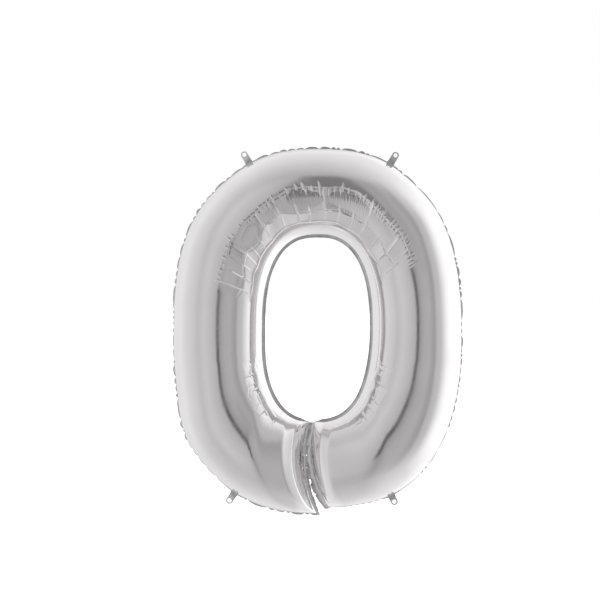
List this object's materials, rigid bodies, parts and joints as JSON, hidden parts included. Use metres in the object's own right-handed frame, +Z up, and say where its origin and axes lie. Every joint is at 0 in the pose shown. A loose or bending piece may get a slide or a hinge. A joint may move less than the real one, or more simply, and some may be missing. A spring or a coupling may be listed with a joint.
{
  "type": "foil number balloon",
  "caption": "Inflated metallised-film numeral zero: a welded tube bent round an oval hole, closed at a slit in its foot, with eyelet tabs for hanging.",
  "frame": {"origin": "the middle of the numeral: half its height, half its width, in the plane of the weld", "axes": "+X to the numeral's right seen from the front, +Y from front to back, +Z up"},
  "size_m": [0.2768, 0.078, 0.3497],
  "materials": {
    "panel_foil": "glossy metallised film, swollen tight",
    "weld_foil": "metallised film pressed flat by the heat weld, finely puckered",
    "tab_foil": "flat two-ply metallised film, die cut",
    "valve_film": "thin clear polyethylene film"
  },
  "bodies": {
    "balloon": {"front_panel": "panel_foil", "back_panel": "panel_foil", "outer_seam": "weld_foil", "inner_seam": "weld_foil", "left_end_seam": "weld_foil", "right_end_seam": "weld_foil", "valve_front_film": "valve_film"},
    "upper_left_tab": {"upper_left_tab": "tab_foil"},
    "upper_right_tab": {"upper_right_tab": "tab_foil"},
    "lower_left_tab": {"lower_left_tab": "tab_foil"},
    "lower_right_tab": {"lower_right_tab": "tab_foil"},
    "valve_flap": {"valve_back_film": "valve_film"}
  },
  "joints": [
    {"name": "upper_left_bend", "type": "hinge", "parent": "balloon", "child": "upper_left_tab", "pos_m": [-0.06552, 0, 0.16033], "axis": [-0.8684, 0, -0.4958], "range_deg": [-90, 90], "stiffness_Nm_per_rad": 0.0002},
    {"name": "upper_right_bend", "type": "hinge", "parent": "balloon", "child": "upper_right_tab", "pos_m": [0.06989, 0, 0.15975], "axis": [-0.8514, 0, 0.5245], "range_deg": [-90, 90], "stiffness_Nm_per_rad": 0.0002},
    {"name": "lower_left_bend", "type": "hinge", "parent": "balloon", "child": "lower_left_tab", "pos_m": [-0.07969, 0, -0.15504], "axis": [0.8296, 0, -0.5584], "range_deg": [-90, 90], "stiffness_Nm_per_rad": 0.0002},
    {"name": "lower_right_bend", "type": "hinge", "parent": "balloon", "child": "lower_right_tab", "pos_m": [0.07087, 0, -0.15776], "axis": [0.9046, 0, 0.4264], "range_deg": [-90, 90], "stiffness_Nm_per_rad": 0.0002},
    {"name": "valve_open", "type": "hinge", "parent": "balloon", "child": "valve_flap", "pos_m": [-0.00898, 0.00022, -0.1283], "axis": [0, 0, 1], "range_deg": [0, 4], "stiffness_Nm_per_rad": 0.002}
  ]
}
